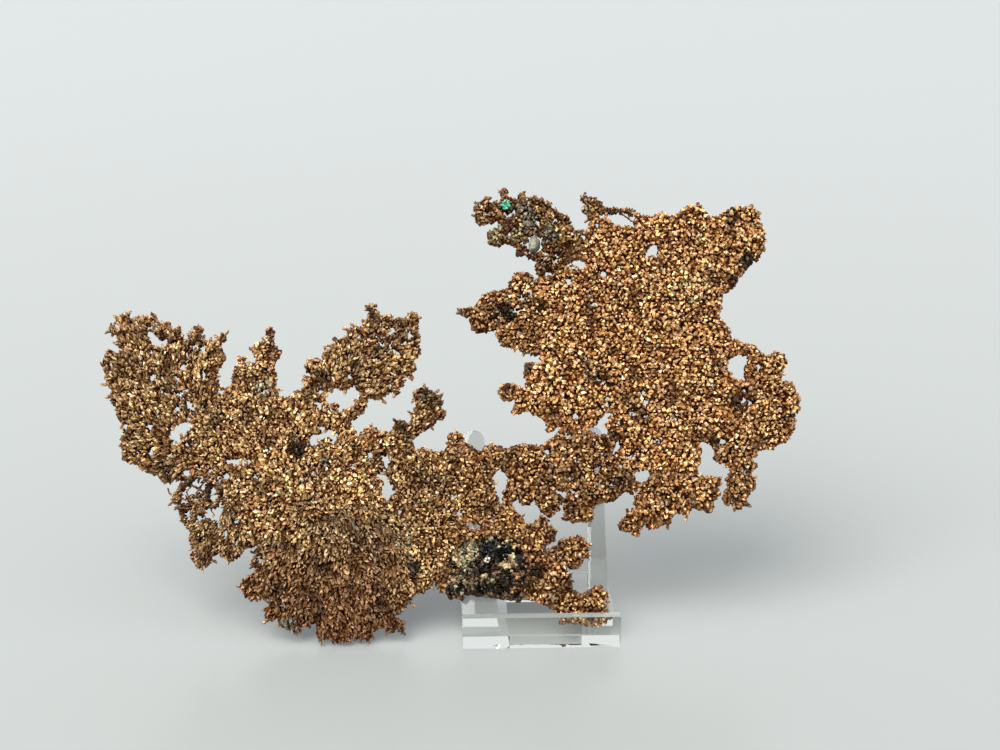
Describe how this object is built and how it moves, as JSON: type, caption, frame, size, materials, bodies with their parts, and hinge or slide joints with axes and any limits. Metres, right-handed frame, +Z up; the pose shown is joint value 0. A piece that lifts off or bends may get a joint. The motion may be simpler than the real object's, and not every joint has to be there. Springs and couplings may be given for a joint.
{
  "type": "native copper nugget",
  "caption": "Lacy branching sheet of native copper crystals with a lump of matrix rock, leaning back on a clear acrylic display easel.",
  "frame": {"origin": "middle of the footprint of the whole part, on the surface it stands on", "axes": "+X to the viewer's right along the sheet's width, +Y to the back, +Z up"},
  "size_m": [0.2153, 0.0747, 0.1244],
  "materials": {
    "copper_orange": "rough crystalline copper, lightly tarnished",
    "copper_gold": "rough crystalline copper with a golden-brown tarnish",
    "copper_brown": "rough crystalline copper with a dark brown tarnish",
    "matrix_rock": "rough dark rock with pale grains",
    "pale_stone": "rough pale grey-white stone",
    "clear_acrylic": "clear polished acrylic"
  },
  "bodies": {
    "root": {"copper_left_wing": "copper_gold", "copper_upper_mass": "copper_gold", "copper_leaf": "copper_gold", "copper_side_branch": "copper_gold", "copper_lace_branch": "copper_brown", "copper_lower_fan": "copper_brown", "copper_centre": "copper_gold", "copper_neck": "copper_orange", "copper_link": "copper_orange", "copper_foot": "copper_orange", "copper_right_fan": "copper_orange", "copper_left_spurs": "copper_orange", "copper_top_spur": "copper_orange", "copper_bent_twig": "copper_orange", "copper_right_lobe": "copper_orange", "copper_tail": "copper_orange", "copper_lower_tips": "copper_orange", "matrix_lump": "matrix_rock", "pale_stone": "pale_stone", "easel": "clear_acrylic"}
  },
  "joints": []
}
